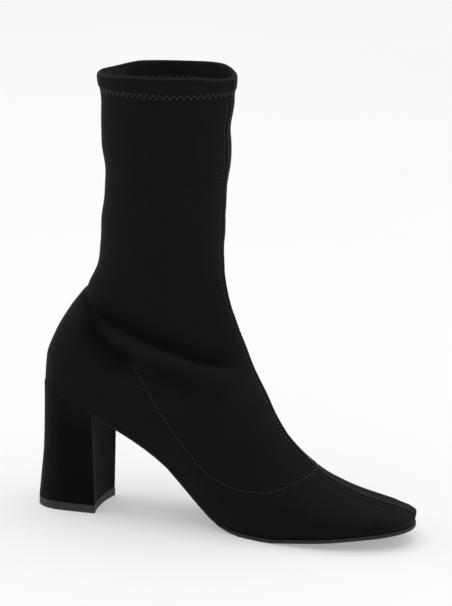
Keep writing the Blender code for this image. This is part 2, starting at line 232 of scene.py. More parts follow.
# Dents of the loose shaft, row a dent: side 1 front, -1 back; height, width and outward move,
# in metres
DENTS = [
    (1, 0.238, 0.008, -0.0016),
    (1, 0.224, 0.009, 0.0003),
    (1, 0.252, 0.008, 0.0002),
    (1, 0.200, 0.010, -0.0007),
    (-1, 0.208, 0.013, -0.0009),
    (-1, 0.235, 0.012, 0.0006),
    (-1, 0.178, 0.012, 0.0007),
]
DENT_REACH = (-0.005, 0.035)

# The shaft's middle line, forward by height, the back's inward pull and the heights over which
# it sets in, and the faint waves, metres
SHAFT_HEIGHTS = (0.13, 0.275)
SHAFT_MIDDLE = (0.078, 0.081)
BACK_PULL = 0.0009
BACK_PULL_REACH = (0.222, 0.250)
SHAFT_WAVES = 0.0003

# Edge of the upper at the sole, metres: how far up it bends, at most this share of the section,
# how sharply, and how far it is tucked in under the foot
EASE = 0.0070
EASE_SHARE = 0.2
EASE_BEND = 0.55
FOOT_TUCK = 0.004

# The small push forward at the very tip of the toe, metres
NOSE = 0.0006
NOSE_WIDE = 0.0036

# Relief beside the front seam, metres
SEAM_GROOVE = 0.0005
SEAM_GROOVE_WIDE = 0.0006
SEAM_PILLOW = 0.00035
STITCH_OFF = 0.0029
STITCH_PULL = 0.7
STITCH_PULL_WIDE = 0.0005
TOE_RIDGE = 0.0009
TOE_RIDGE_WIDE = 0.0045
TOE_FLAT = 0.0011
TOE_FLAT_OFF = 0.013
TOE_FLAT_WIDE = 0.0085
TOE_TOP = (0.055, 0.085)
NOSE_REACH = (-0.001, 0.014)

# Relief of the vamp's stitched line, metres
VAMP_GROOVE = 0.00022
VAMP_GROOVE_WIDE = 0.0007
VAMP_PUFF = 0.00015
VAMP_PUFF_OFF = 0.0016
VAMP_PUFF_WIDE = 0.0012

# Threads, metres; bead: the rings of one thread, each its place along it, its thickness and its
# lift off the surface, as shares
STITCH_PITCH = 0.0024
STITCH_LENGTH = 0.0016
ZIGZAG_PITCH = 0.0040
ZIGZAG_POINTS = 8
ZIGZAG_HEIGHT = 0.0032
ZIGZAG_INSIDE_UP = 0.0012
THREAD = 0.00017
BEAD_SIDES = 6
BEAD = ((0.0, 0.15, -0.3), (0.18, 0.85, 0.35), (0.5, 1.0, 0.7), (0.82, 0.85, 0.35), (1.0, 0.15, -0.3))

# Wrap of the heel block: points of its outline, rings, how much of its width the seat may take,
# tuck into the upper and edge in metres, and the painted shade on its side and its breast
HEEL_ARC_POINTS = 40
HEEL_SIDE_POINTS = 9
BREAST_POINTS = 24
HEEL_RINGS = 15
HEEL_SEAT_REACH = 0.6
HEEL_TUCK = 0.0008
HEEL_EDGE = 0.0007
HEEL_SIDE_SHADE = 0.56
BREAST_SHADE = 0.58

# Tones of the foot: darker low down, a painted highlight at the tip of the toe, and where they set in
FOOT_TONE = 0.14
FOOT_TONE_HEIGHTS = (0.040, 0.105)
TOE_HIGHLIGHT = 0.5
TOE_HIGHLIGHT_REACH = (0.226, 0.244)

# Where the sole's black arch ends, how softly, both forward in metres, and its level of grey
ARCH_END = 0.138
ARCH_FADE = 0.012
ARCH_GREY = 0.0065

# Folds of the soft ankle, row a fold: side 1 outer, -1 inner and 0 both; depth, below 0 a ridge;
# width above and below its line; shade: painted shade it puts along the fold, below 0 a painted
# highlight on the ridge instead; points of its line, forward from the heel's back and up; all but side
# and shade in metres
FOLDS = [
    (-1, 0.0028, 0.0080, 0.0014, 0.48, [
        (0.0440, 0.1345), (0.0500, 0.1280), (0.0600, 0.1220), (0.0740, 0.1145),
        (0.0940, 0.1070), (0.1130, 0.1015), (0.1260, 0.0995), (0.1340, 0.0985)]),
    (-1, -0.0021, 0.0018, 0.0058, -0.34, [
        (0.0490, 0.1215), (0.0620, 0.1155), (0.0740, 0.1105), (0.0940, 0.1040),
        (0.1120, 0.0990), (0.1260, 0.0965), (0.1390, 0.0900)]),
    (-1, 0.0022, 0.0013, 0.0040, 0.50, [
        (0.0320, 0.1390), (0.0385, 0.1350), (0.0435, 0.1300), (0.0475, 0.1245),
        (0.0520, 0.1190)]),
    (-1, 0.0017, 0.0036, 0.0095, 0.72, [
        (0.0430, 0.1270), (0.0480, 0.1180), (0.0540, 0.1105), (0.0620, 0.1045),
        (0.0760, 0.0975)]),
    (-1, 0.0005, 0.0035, 0.0100, 0.20, [
        (0.0700, 0.1020), (0.0860, 0.0985), (0.1020, 0.0950), (0.1200, 0.0900)]),
    (-1, -0.0008, 0.0045, 0.0045, -0.30, [
        (0.1290, 0.0945), (0.1370, 0.0880), (0.1430, 0.0815), (0.1480, 0.0740)]),
    (-1, 0.0008, 0.0060, 0.0070, 0.20, [
        (0.0800, 0.0935), (0.1000, 0.0900), (0.1180, 0.0830), (0.1310, 0.0740)]),
    (-1, -0.0006, 0.0050, 0.0050, -0.12, [
        (0.1400, 0.0710), (0.1480, 0.0650), (0.1560, 0.0580)]),
    (0, 0.0012, 0.0030, 0.0014, 0.10, [
        (0.0200, 0.1425), (0.0290, 0.1405), (0.0360, 0.1370)]),
    (1, 0.0022, 0.0080, 0.0034, 0.45, [
        (0.0400, 0.1370), (0.0500, 0.1300), (0.0640, 0.1225), (0.0760, 0.1195),
        (0.0990, 0.1150), (0.1130, 0.1090), (0.1200, 0.1050)]),
    (1, -0.0012, 0.0032, 0.0070, -0.15, [
        (0.0500, 0.1220), (0.0620, 0.1140), (0.0860, 0.1110), (0.1080, 0.1045),
        (0.1150, 0.1005)]),
    (1, 0.0017, 0.0045, 0.0060, 0.38, [
        (0.0460, 0.1260), (0.0560, 0.1110), (0.0760, 0.1010), (0.0930, 0.0945),
        (0.1130, 0.0890), (0.1300, 0.0790)]),
    (1, -0.0008, 0.0050, 0.0070, -0.10, [
        (0.0840, 0.0880), (0.1060, 0.0820), (0.1240, 0.0740), (0.1360, 0.0660)]),
]

# Vamp stitching: piece, side, and points forward from the heel's back and up, metres, from the
# ankle to the ridge
VAMP_LINES = [
    ("vamp_stitches_inner", -1, [
        (0.0720, 0.0975), (0.0835, 0.0810), (0.0955, 0.0640), (0.1035, 0.0540),
        (0.1085, 0.0485), (0.1185, 0.0392), (0.1300, 0.0330), (0.1435, 0.0297),
        (0.1565, 0.0297), (0.1680, 0.0322), (0.1760, 0.0350), (0.1805, 0.0375)]),
    ("vamp_stitches_outer", 1, [
        (0.0780, 0.1060), (0.0885, 0.0870), (0.1038, 0.0665), (0.1266, 0.0440),
        (0.1458, 0.0330), (0.1620, 0.0310), (0.1740, 0.0350), (0.1805, 0.0375)]),
]


def table_curve(table, column, at):
    """Monotone cubic through one column of a table, over its first column."""
    x = np.array([row[0] for row in table], float)
    y = np.array([row[column] for row in table], float)
    rise = np.diff(y) / np.diff(x)
    slope = np.zeros(len(x))
    same = rise[:-1] * rise[1:] > 0
    total = np.where(same, rise[:-1] + rise[1:], 1.0)
    slope[1:-1] = np.where(same, 2 * rise[:-1] * rise[1:] / total, 0.0)
    slope[0] = rise[0]
    slope[-1] = rise[-1]
    at = np.clip(at, x[0], x[-1])
    i = np.clip(np.searchsorted(x, at, side="right") - 1, 0, len(x) - 2)
    span = x[i + 1] - x[i]
    t = (at - x[i]) / span
    start = y[i] * (1 + 2 * t) * (1 - t) ** 2 + span * slope[i] * t * (1 - t) ** 2
    end = y[i + 1] * t * t * (3 - 2 * t) - span * slope[i + 1] * t * t * (1 - t)
    return start + end


def along_last(x):
    """Share of the last's length at x."""
    return np.clip((x - SEAT_BACK) / LAST_LENGTH, 0.0, 1.0)


def seat_line(x):
    """Height of the line on which upper, sole and heel meet."""
    along = along_last(x)
    drop = table_curve(SOLE_LINE, SOLE_COLUMNS.index("drop"), along)
    spring = table_curve(SOLE_LINE, SOLE_COLUMNS.index("spring"), along)
    return SOLE_THICK + drop * (SEAT_HEIGHT - SOLE_THICK) + spring * TOE_SPRING


def seat_point(x, rise):
    """x and z of a point at a distance from the seat line, square to it."""
    step = LAST_LENGTH / 500
    tilt = (seat_line(x + step) - seat_line(x - step)) / (2 * step)
    size = np.sqrt(1 + tilt * tilt)
    return x - rise * tilt / size, seat_line(x) + rise / size


def centre(x):
    """Sideways place of the middle line, straight at the heel and swung inwards at the toe."""
    swing = np.clip((along_last(x) - SWING_FROM) / (1 - SWING_FROM), 0.0, 1.0)
    return -INFLARE * swing * swing


def end_round(share):
    """Width left at a share of the way into a rounded end."""
    return (1 - np.clip(share, 0.0, 1.0) ** ROUND_POWER) ** (1 / ROUND_POWER)


def half_width(x, side):
    """Half width of the edge where the upper meets the sole; side 1 is outer, -1 inner."""
    along = along_last(x)
    column = OUTLINE_COLUMNS.index("outer" if side > 0 else "inner")
    wide = table_curve(OUTLINE, column, along) * BALL_WIDTH
    return wide * end_round(1 - along / HEEL_ROUND) * end_round(1 - (1 - along) / TOE_ROUND)


def path_run(line):
    """Distance along a line of points, at each point."""
    return np.concatenate([[0], np.cumsum(np.linalg.norm(np.diff(line, axis=0), axis=1))])


def section_table(row_steps, end_steps):
    """The fanned sections in metres, made finer, with a flag for those that start on the sole."""
    coarse = []
    for row in ROWS:
        cell = dict(zip(ROW_COLUMNS, row))
        seat_x = SEAT_BACK + cell["low_x"] * LAST_LENGTH
        low = (seat_x, (cell["low_z"] or 0.0) * COLLAR_HEIGHT)
        if cell["kind"] != "back":
            low = seat_point(seat_x, GAP + STAND)
        top = (SEAT_BACK + cell["top_x"] * LAST_LENGTH, (cell["top_z"] or 0.0) * COLLAR_HEIGHT)
        if cell["kind"] == "tip":
            top = low
        coarse.append((len(coarse), *low, *top, cell["inner"] * BALL_WIDTH,
                       cell["outer"] * BALL_WIDTH, cell["widest"], cell["round_in"],
                       cell["round_out"], cell["lean"] * BALL_WIDTH, seat_x))
    last_on_sole = max(i for i, row in enumerate(ROWS) if row[0] != "back")
    steps = np.arange(0, (len(ROWS) - 1) * row_steps + 1) / row_steps
    curl = (np.arange(1, end_steps) / end_steps) ** 2
    steps = np.unique(np.round(np.concatenate([steps, curl, last_on_sole - curl]), 6))
    fine = np.stack([table_curve(coarse, c, steps) for c in range(1, len(coarse[0]))], 1)
    return fine, steps <= last_on_sole


def column_places(total, columns):
    """Distances from the front seam along a section, close together beside the seam."""
    near = np.array(NEAR_SEAM_MM) * 0.001
    near = near * min(1.0, total / SEAM_FULL)
    if columns < 2 * len(near):
        return np.linspace(0, total, columns)
    rest = np.linspace(near[-1], total, columns - len(near) + 1)[1:]
    return np.concatenate([near, rest])


def section(row, starts_on_sole, side, columns):
    """Points of one side of a section from its top to its low end, where it stands up straight."""
    low_x, low_z, top_x, top_z, inner, outer, widest, round_in, round_out, lean, seat_x = row
    power = round_out if side > 0 else round_in
    foot = float(half_width(seat_x, side)) if starts_on_sole else 0.0
    wide = max(outer if side > 0 else inner, foot * 1.0005 + 0.00001)
    tuck = math.sqrt(1 - (foot / wide) ** 2)
    above = np.linspace(0, math.pi / 2, ARC_POINTS)
    below = np.linspace(0, math.asin(tuck), ARC_POINTS)[1:]
    out = np.concatenate([wide * np.sin(above) ** (2 / power), wide * np.cos(below)])
    up = np.concatenate([widest + (1 - widest) * np.cos(above) ** (2 / power),
                         widest * (1 - np.sin(below) / tuck)])
    if starts_on_sole:
        foot_x, foot_z = seat_point(seat_x, GAP)
        low_x, low_z = seat_point(seat_x, GAP + STAND)
    size = math.hypot(top_x - low_x, top_z - low_z)
    run = np.concatenate([[0], np.cumsum(np.hypot(np.diff(out), np.diff(up) * size))])
    even = column_places(run[-1], columns if starts_on_sole else columns + 1)
    out = np.interp(even, run, out)
    up = np.interp(even, run, up)
    x = low_x + up * (top_x - low_x)
    y = side * out + centre(x) - lean * up * up
    points = np.stack([x, y, low_z + up * (top_z - low_z)], 1)
    if starts_on_sole:
        points = np.concatenate([points, [[foot_x, side * foot + centre(foot_x), foot_z]]])
    return points


def surface_grid(row_steps, end_steps, columns):
    """Outer face of the upper without its hem, in the part's own zero, inner edge to outer edge."""
    fine, on_sole = section_table(row_steps, end_steps)
    rows = []
    for row, starts_on_sole in zip(fine, on_sole):
        inner = section(row, starts_on_sole, -1, columns)
        outer = section(row, starts_on_sole, 1, columns)
        rows.append(np.concatenate([inner[::-1], outer[1:]]))
    return slide_seam(np.array(rows)), on_sole


def slide_seam(grid):
    """Rows slid along themselves, so that the front seam swings to and fro as it does in the photo."""
    middle = grid.shape[1] // 2
    moved = grid.copy()
    for i, row in enumerate(grid):
        run = path_run(row)
        if run[-1] > 0.001:
            by = table_curve(SEAM_SLIDE, SLIDE_COLUMNS.index("inward"), row[middle, 2])
            by = by * min(1.0, run[-1] / SLIDE_FULL)
            reach = np.where(run < run[middle], run[middle], run[-1] - run[middle])
            far = np.abs(run - run[middle]) / reach
            at = run - by * smooth(1 - far, 0.0, 1.0)
            moved[i] = np.stack([np.interp(at, run, row[:, c]) for c in range(3)], 1)
    return moved


def grid_normals(grid, on_sole):
    """Outward directions at the points of the upper's face."""
    down = np.gradient(grid, axis=0)
    over = np.gradient(grid, axis=1)
    normal = np.cross(over, down)
    normal[0] = normal[1].sum(axis=0)
    back = ~on_sole
    back[np.flatnonzero(on_sole)[-1]] = True
    seam = normal[back, 0] + normal[back, -1]
    normal[back, 0] = seam
    normal[back, -1] = seam
    size = np.linalg.norm(normal, axis=2)[:, :, None]
    return normal / np.maximum(size, 1e-12)


def bell(value, wide):
    """Soft bump, 1 at 0 and small past its width."""
    return np.exp(-(value / wide) ** 2)


def smooth(value, low, high):
    """0 at low, 1 at high, with soft ends."""
    t = np.clip((value - low) / (high - low), 0.0, 1.0)
    return t * t * (3 - 2 * t)


def line_field(x, z, points, fade):
    """Signed distance above a line in side view, and how strongly the line counts there."""
    line = np.array(points)
    best = np.full(x.shape, np.inf)
    above = np.zeros(x.shape)
    place = np.zeros(x.shape)
    run = 0.0
    for start, end in zip(line, line[1:]):
        along = end - start
        length = np.linalg.norm(along)
        along = along / length
        t = np.clip((x - start[0]) * along[0] + (z - start[1]) * along[1], 0, length)
        dx = x - start[0] - t * along[0]
        dz = z - start[1] - t * along[1]
        far = np.hypot(dx, dz)
        side = np.sign(dz * along[0] - dx * along[1])
        near = far < best
        best = np.where(near, far, best)
        above = np.where(near, side * far, above)
        place = np.where(near, run + t, place)
        run += length
    return above, smooth(place, 0, fade) * smooth(run - place, 0, fade)


def curve_points(points, count):
    """A smooth line through given points, evenly spaced."""
    line = np.array(points, float)
    run = path_run(line)
    at = np.linspace(0, run[-1], count)
    table = [tuple([r, *p]) for r, p in zip(run, line)]
    return np.stack([table_curve(table, c + 1, at) for c in range(line.shape[1])], 1)


def side_view(grid):
    """Forward, sideways from the middle line, and up."""
    return grid[:, :, 0], grid[:, :, 1] - centre(grid[:, :, 0]), grid[:, :, 2]


def fold_relief(grid):
    """Outward movement from the ankle's folds, and the painted shade and highlights on the nap."""
    x, y, z = side_view(grid)
    move = np.zeros(x.shape)
    painted_shading = np.zeros(x.shape)
    for side, depth, wide_up, wide_down, dark, points in FOLDS:
        line = curve_points(points, FOLD_POINTS)
        above, strength = line_field(x, z, line, 0.012 if side else 0.004)
        wide = np.where(above > 0, wide_up, wide_down)
        shape = bell(above, wide) * strength
        if side:
            shape = shape * smooth(side * y, 0.001, 0.012)
        move -= depth * shape
        # Painted shade along the fold, or a painted highlight on a ridge where dark is below 0
        painted_shading += dark * shape
    # Darker low down on the foot, and a painted highlight on the tip of the toe
    painted_shading += FOOT_TONE * (1 - smooth(z, *FOOT_TONE_HEIGHTS)) - TOE_HIGHLIGHT * smooth(x, *TOE_HIGHLIGHT_REACH)
    return move, painted_shading


def shaft_relief(grid):
    """Outward movement of the loose shaft: soft dents at the front and back, and faint waves."""
    x, y, z = grid[:, :, 0], grid[:, :, 1], grid[:, :, 2]
    middle = np.interp(z, SHAFT_HEIGHTS, SHAFT_MIDDLE)
    front = smooth(x - middle, *DENT_REACH)
    back = smooth(middle - x, *DENT_REACH)
    move = -BACK_PULL * smooth(z, *BACK_PULL_REACH) * back
    for side, height, wide, out in DENTS:
        move += out * bell(z - height, wide) * (front if side > 0 else back)
    waves = np.sin(z * 210 + y * 60 + x * 40) * np.sin(z * 97 - y * 85 + 1.3)
    move += SHAFT_WAVES * waves * smooth(z, 0.14, 0.17) * smooth(0.262 - z, 0.0, 0.01)
    return move


def seam_relief(run, total):
    """Groove of the front seam and the pillows beside it, by the distance from the seam."""
    size = np.clip(total / SEAM_FULL, 0.0, 1.0)
    move = -SEAM_GROOVE * bell(run, SEAM_GROOVE_WIDE) * size
    move += SEAM_PILLOW * bell(run - STITCH_OFF * 0.5, STITCH_OFF * 0.5) * size
    move -= SEAM_PILLOW * STITCH_PULL * bell(run - STITCH_OFF, STITCH_PULL_WIDE) * size
    return move


def toe_relief(grid, run):
    """Ridge along the seam on the toe and instep, flatter beside it on the outer side."""
    middle = grid.shape[1] // 2
    low = (1 - smooth(grid[:, middle, 2], *TOE_TOP))[:, None] * np.clip(run[:, -1:] / TOE_FULL, 0, 1)
    move = TOE_RIDGE * bell(run, TOE_RIDGE_WIDE)
    move -= TOE_FLAT * bell(run - TOE_FLAT_OFF, TOE_FLAT_WIDE)
    return move * low * smooth(grid[0, middle, 0] - grid[:, :, 0], *NOSE_REACH)


def stitch_line_relief(grid):
    """Shallow line that the vamp's stitches pull into the fabric."""
    x, y, z = side_view(grid)
    move = np.zeros(x.shape)
    for _, side, points in VAMP_LINES:
        above, strength = line_field(x, z, curve_points(points, VAMP_POINTS), 0.004)
        on_side = side * y > 0
        move -= VAMP_GROOVE * bell(above, VAMP_GROOVE_WIDE) * strength * on_side
        move += VAMP_PUFF * bell(above - VAMP_PUFF_OFF, VAMP_PUFF_WIDE) * strength * on_side
    return move


def rim_dip(top):
    """How far the rim sinks below the collar's height, round the collar."""
    middle = (top[:, 0].min() + top[:, 0].max()) / 2
    reach = np.abs(top[:, 0] - middle) / (top[:, 0].max() - middle)
    dip = RIM_DIP * smooth(reach, *DIP_REACH)
    for side, forward, wide, drop in RIM_SAGS:
        dip += drop * bell(top[:, 0] - middle - forward, wide) * smooth(side * top[:, 1], *SAG_REACH)
    return dip


def hem_profile():
    """The hem in section: heights and distances out from the shaft, up outside and down inside."""
    low = COLLAR_HEIGHT - HEM_HEIGHT
    profile = [(low + up, out) for up, out in HEM_LEDGE]
    for share in np.linspace(0.08, 0.86, 12):
        profile.append((low + share * HEM_HEIGHT, HEM_STEP + HEM_PUFF * math.sin(share * math.pi)))
    for turn in np.linspace(0.15, math.pi - 0.15, 9):
        out = HEM_STEP - RIM_ROUND * (1 - math.cos(turn))
        profile.append((COLLAR_HEIGHT - RIM_ROUND + RIM_ROUND * math.sin(turn), out))
    inside = HEM_STEP - 2 * RIM_ROUND - 0.0001
    for share in np.linspace(0.05, 1.0, 8):
        profile.append((COLLAR_HEIGHT - RIM_ROUND - share * (HEM_HEIGHT + 0.002), inside))
    profile.append((low - 0.0060, -WALL - 0.0006))
    return profile


def hem_rows(grid, normals):
    """The collar's hem: a band that stands out, rolls over the rim and runs down inside."""
    out = normals[-1].copy()
    out[:, 2] = 0
    out /= np.linalg.norm(out, axis=1)[:, None]
    up = np.array([0.0, 0.0, 1.0])
    dip = rim_dip(grid[-1])
    heights = grid[:, :, 2].mean(axis=1)
    rows = []
    for height, away in hem_profile():
        level = min(height, heights[-1])
        i = int(np.clip(np.searchsorted(heights, level) - 1, 0, len(heights) - 2))
        t = (level - heights[i]) / (heights[i + 1] - heights[i])
        base = grid[i] * (1 - t) + grid[i + 1] * t
        base = base + up * (height - base[:, 2:3])
        share = smooth(height, COLLAR_HEIGHT - HEM_HEIGHT, COLLAR_HEIGHT - 0.002)
        rows.append(base + out * away - up * (dip * share)[:, None])
    return rows


def hem_painted_light(rows):
    """Painted highlight on the hem's rolled edge and painted light inside it, most of all in the back
    corner.
    """
    painted_shading_values = []
    for i, row in enumerate(rows):
        painted_shading = np.zeros(len(row))
        # Painted highlight on the rim; painted light on the hem's inner face, most in the back corner
        if row[:, 2].max() > COLLAR_HEIGHT - RIM_TOP:
            painted_shading += RIM_HIGHLIGHT
        elif i > len(rows) / 2:
            corner = 1 - smooth(row[:, 0] - row[:, 0].min(), 0.0, CORNER_WIDE)
            painted_shading += INSIDE_PAINTED_LIGHT * (1 + CORNER_PAINTED_LIGHT * corner)
        painted_shading_values.append(painted_shading)
    return painted_shading_values


def ease_end(line):
    """The end of a section, from its foot up, bent smoothly down onto the sole."""
    run = path_run(line)
    last = int(np.searchsorted(run, min(EASE, run[-1] * EASE_SHARE)))
    if last < 3:
        return
    ahead = line[last] - line[last + 1]
    chord = np.linalg.norm(line[0] - line[last])
    control = line[last] + ahead / max(np.linalg.norm(ahead), TINY) * chord * EASE_BEND
    t = (run[:last + 1] / run[last])[:, None]
    line[:last + 1] = (1 - t) ** 2 * line[0] + 2 * t * (1 - t) * control + t * t * line[last]


def grid_faces(rows, columns):
    """Quads over a grid of points numbered row by row."""
    faces = []
    for i in range(rows - 1):
        for j in range(columns - 1):
            a = i * columns + j
            faces.append((a, a + 1, a + columns + 1, a + columns))
    return faces


def add_piece(name, verts, faces, look, node=None, painted_shading=None):
    """A finished piece of the boot in the row's frame."""
    mesh = bpy.data.meshes.new(name)
    placed = np.asarray(verts, float) + np.array(ORIGIN)
    mesh.from_pydata(placed.tolist(), [], faces)
    # The piece's painted shade and highlights, read by its material
    if painted_shading is not None:
        mesh.attributes.new("painted_shading", "FLOAT", "POINT").data.foreach_set("value", painted_shading)
    work = bmesh.new()
    work.from_mesh(mesh)
    bmesh.ops.remove_doubles(work, verts=work.verts, dist=MERGE)
    work.to_mesh(mesh)
    work.free()
    mesh.validate()
    mesh.shade_smooth()
    mesh.materials.append(look)
    piece = bpy.data.objects.new(name, mesh)
    bpy.context.scene.collection.objects.link(piece)
    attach(piece, "root")
    if node:
        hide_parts(node)
    return piece


class Shader:
    """A Principled material with helpers for its nodes."""

    def __init__(self, name, **sockets):
        self.material = bpy.data.materials.new(name)
        self.material.use_nodes = True
        self.tree = self.material.node_tree
        self.main = self.tree.nodes["Principled BSDF"]
        for key, value in sockets.items():
            self.main.inputs[key.replace("_", " ")].default_value = value
        self.place = self.node("ShaderNodeTexCoord").outputs["Object"]

    def node(self, kind, **values):
        """A new node, with its properties or input sockets set."""
        made = self.tree.nodes.new(kind)
        for key, value in values.items():
            if hasattr(made, key):
                setattr(made, key, value)
            else:
                made.inputs[key.replace("_", " ")].default_value = value
        return made

    def link(self, source, target):
        """Joins an output to an input."""
        self.tree.links.new(source, target)

    def noise(self, scale, detail=2.0, rough=0.5, stretch=(1.0, 1.0, 1.0)):
        """Noise over the object, its scale in waves a metre."""
        mapping = self.node("ShaderNodeMapping")
        mapping.inputs["Scale"].default_value = stretch
        self.link(self.place, mapping.inputs["Vector"])
        made = self.node("ShaderNodeTexNoise", Scale=scale, Detail=detail, Roughness=rough)
        self.link(mapping.outputs["Vector"], made.inputs["Vector"])
        return made.outputs["Fac"]

    def ramp(self, source, dark, light, low=0.3, high=0.7):
        """Maps a value from low to high between two levels of grey."""
        made = self.node("ShaderNodeValToRGB")
        made.color_ramp.elements[0].position = low
        made.color_ramp.elements[0].color = (dark, dark, dark, 1.0)
        made.color_ramp.elements[1].position = high
        made.color_ramp.elements[1].color = (light, light, light, 1.0)
        self.link(source, made.inputs["Fac"])
        return made.outputs["Color"]

    def with_painted_shading(self, colour):
        """The colour darkened by painted shade where the piece's painted shading is above 0 and
        lightened by a painted highlight where it is below.
        """
        painted_shading = self.node("ShaderNodeAttribute", attribute_name="painted_shading")
        share = self.node("ShaderNodeMath", operation="SUBTRACT")
        share.inputs[0].default_value = 1.0
        self.link(painted_shading.outputs["Fac"], share.inputs[1])
        scaled = self.node("ShaderNodeVectorMath", operation="SCALE")
        self.link(colour, scaled.inputs[0])
        self.link(share.outputs["Value"], scaled.inputs["Scale"])
        return scaled.outputs["Vector"]

    def bump(self, source, strength, distance, before=None):
        """Bump from a value, its distance in metres, on top of another bump."""
        made = self.node("ShaderNodeBump", Strength=strength, Distance=distance)
        self.link(source, made.inputs["Height"])
        if before:
            self.link(before, made.inputs["Normal"])
        return made.outputs["Normal"]

    def finish(self, colour, rough=None, normal=None):
        """The material, with what feeds its colour, roughness and normal."""
        self.link(colour, self.main.inputs["Base Color"])
        if rough:
            self.link(rough, self.main.inputs["Roughness"])
        if normal:
            self.link(normal, self.main.inputs["Normal"])
        return self.material


def microsuede(name, dark, light):
    """Short napped fabric: brushed patches, fine fibres and a faint sheen at grazing angles."""
    look = Shader(name, Roughness=0.92, Sheen_Weight=0.05, Sheen_Roughness=0.3, Specular_IOR_Level=0.08)
    look.main.inputs["Sheen Tint"].default_value = (0.78, 0.78, 0.79, 1.0)
    patches = look.noise(scale=70, detail=3, rough=0.55)
    # The nap's patches, with the piece's painted shade and highlights
    colour = look.with_painted_shading(look.ramp(patches, dark, light, low=0.35, high=0.65))
    nap = look.noise(scale=5200, detail=2, rough=0.6)
    pile = look.bump(nap, strength=0.35, distance=0.0002)
    soft = look.bump(look.noise(scale=420), strength=0.18, distance=0.0006, before=pile)
    rough = look.ramp(patches, 0.86, 0.98)
    return look.finish(colour, rough, soft)


def make_rubber(name, dark, light, black_arch=False):
    """Moulded rubber with fine tread lines, faintly mottled; with the last flag set, black under the
    arch.
    """
    look = Shader(name, Specular_IOR_Level=0.15)
    cloud = look.noise(scale=160, detail=3, rough=0.6)
    colour = look.ramp(cloud, dark, light)
    # Black under the arch, fading into the rest of the sole's colour
    if black_arch:
        arch = ORIGIN.x + ARCH_END
        share = look.node("ShaderNodeMapRange", interpolation_type="SMOOTHSTEP")
        share.inputs["From Min"].default_value = arch - ARCH_FADE
        share.inputs["From Max"].default_value = arch
        split = look.node("ShaderNodeSeparateXYZ")
        look.link(look.place, split.inputs[0])
        look.link(split.outputs["X"], share.inputs["Value"])
        mix = look.node("ShaderNodeMix", data_type="RGBA")
        look.link(share.outputs["Result"], mix.inputs["Factor"])
        mix.inputs["A"].default_value = (ARCH_GREY, ARCH_GREY, ARCH_GREY, 1.0)
        look.link(colour, mix.inputs["B"])
        colour = mix.outputs["Result"]
    rough = look.ramp(cloud, 0.5, 0.7)
    waves = look.node("ShaderNodeTexWave", bands_direction="X", Scale=150.0, Distortion=0.4)
    look.link(look.place, waves.inputs["Vector"])
    tread = look.bump(waves.outputs["Fac"], strength=0.12, distance=0.0002)
    grain = look.bump(look.noise(scale=2600), strength=0.25, distance=0.00015, before=tread)
    return look.finish(colour, rough, grain)


def make_thread():
    """Matt grey sewing thread."""
    look = Shader("thread", Roughness=0.7, Sheen_Weight=0.2)
    colour = look.ramp(look.noise(scale=3000, detail=1), 0.018, 0.040)
    twist = look.bump(look.noise(scale=9000, detail=1), strength=0.3, distance=0.0001)
    return look.finish(colour, normal=twist)


def make_lining():
    """Black knitted backing inside the boot."""
    look = Shader("lining", Roughness=0.9, Sheen_Weight=0.1)
    colour = look.ramp(look.noise(scale=220), 0.028, 0.046)
    knit = look.noise(scale=2400, detail=1, stretch=(1.0, 1.0, 0.35))
    return look.finish(colour, normal=look.bump(knit, strength=0.4, distance=0.0003))


def spread_rows(grid):
    """Rows spread evenly where the fan of sections crowds together at the ankle."""
    grid = grid.copy()
    far = np.hypot(grid[:, :, 0] - CROWD[0], grid[:, :, 2] - CROWD[1])
    share = bell(far, CROWD_WIDE)[1:-1, :, None] * CROWD_PULL
    for _ in range(CROWD_ROUNDS):
        grid[1:-1] += share * ((grid[:-2] + grid[2:]) / 2 - grid[1:-1])
    return grid


def tucked(row, starts_on_sole):
    """A row with one more point at each end, which on the sole lies in under the foot."""
    first, last = row[0].copy(), row[-1].copy()
    if starts_on_sole:
        size = np.linalg.norm(last - first)
        inward = (last - first) / max(size, TINY)
        by = min(FOOT_TUCK, size / 2)
        first = first + inward * by
        last = last - inward * by
    return np.concatenate([[first], row, [last]])


def make_cover(look):
    """The upper's outer face with its folds, seam and hem, and an edge tucked under the foot."""
    grid, on_sole = surface_grid(*COVER_GRID)
    grid = spread_rows(grid)
    middle = grid.shape[1] // 2
    step = np.linalg.norm(np.diff(grid, axis=1), axis=2)
    run = np.concatenate([np.zeros((len(grid), 1)), np.cumsum(step, axis=1)], axis=1)
    run = run - run[:, middle:middle + 1]
    normals = grid_normals(grid, on_sole)
    folds, painted_shading = fold_relief(grid)
    folds = folds + shaft_relief(grid) + toe_relief(grid, run)
    settled = grid + normals * folds[:, :, None]
    settled[:, :, 0] += NOSE * bell(np.linalg.norm(grid - grid[0, middle], axis=2), NOSE_WIDE)
    normals = grid_normals(settled, on_sole)
    fine = seam_relief(np.abs(run), run[:, -1:]) + stitch_line_relief(grid)
    settled = settled + normals * fine[:, :, None]
    for row in settled[:int(on_sole.sum())]:
        ease_end(row)
        ease_end(row[::-1])
    keep = (settled[:, :, 2].mean(axis=1) < COLLAR_HEIGHT - HEM_HEIGHT - HEM_JOIN) | on_sole
    hem = hem_rows(settled, normals)
    rows = [*settled[keep], *hem]
    # Painted shade and highlights of the folds and toe, the foot's darker low part, and painted light on
    # the hem
    painted_shading_values = np.array([*painted_shading[keep], *hem_painted_light(hem)])
    painted_shading_values = np.pad(painted_shading_values, ((0, 0), (1, 1)), "edge")
    starts = [*on_sole[keep], *[False] * len(hem)]
    verts = np.array([tucked(row, start) for row, start in zip(rows, starts)])
    faces = grid_faces(*verts.shape[:2])
    verts = verts.reshape(-1, 3)
    return add_piece("upper_cover", verts, faces, look, "upper", painted_shading_values.reshape(-1))


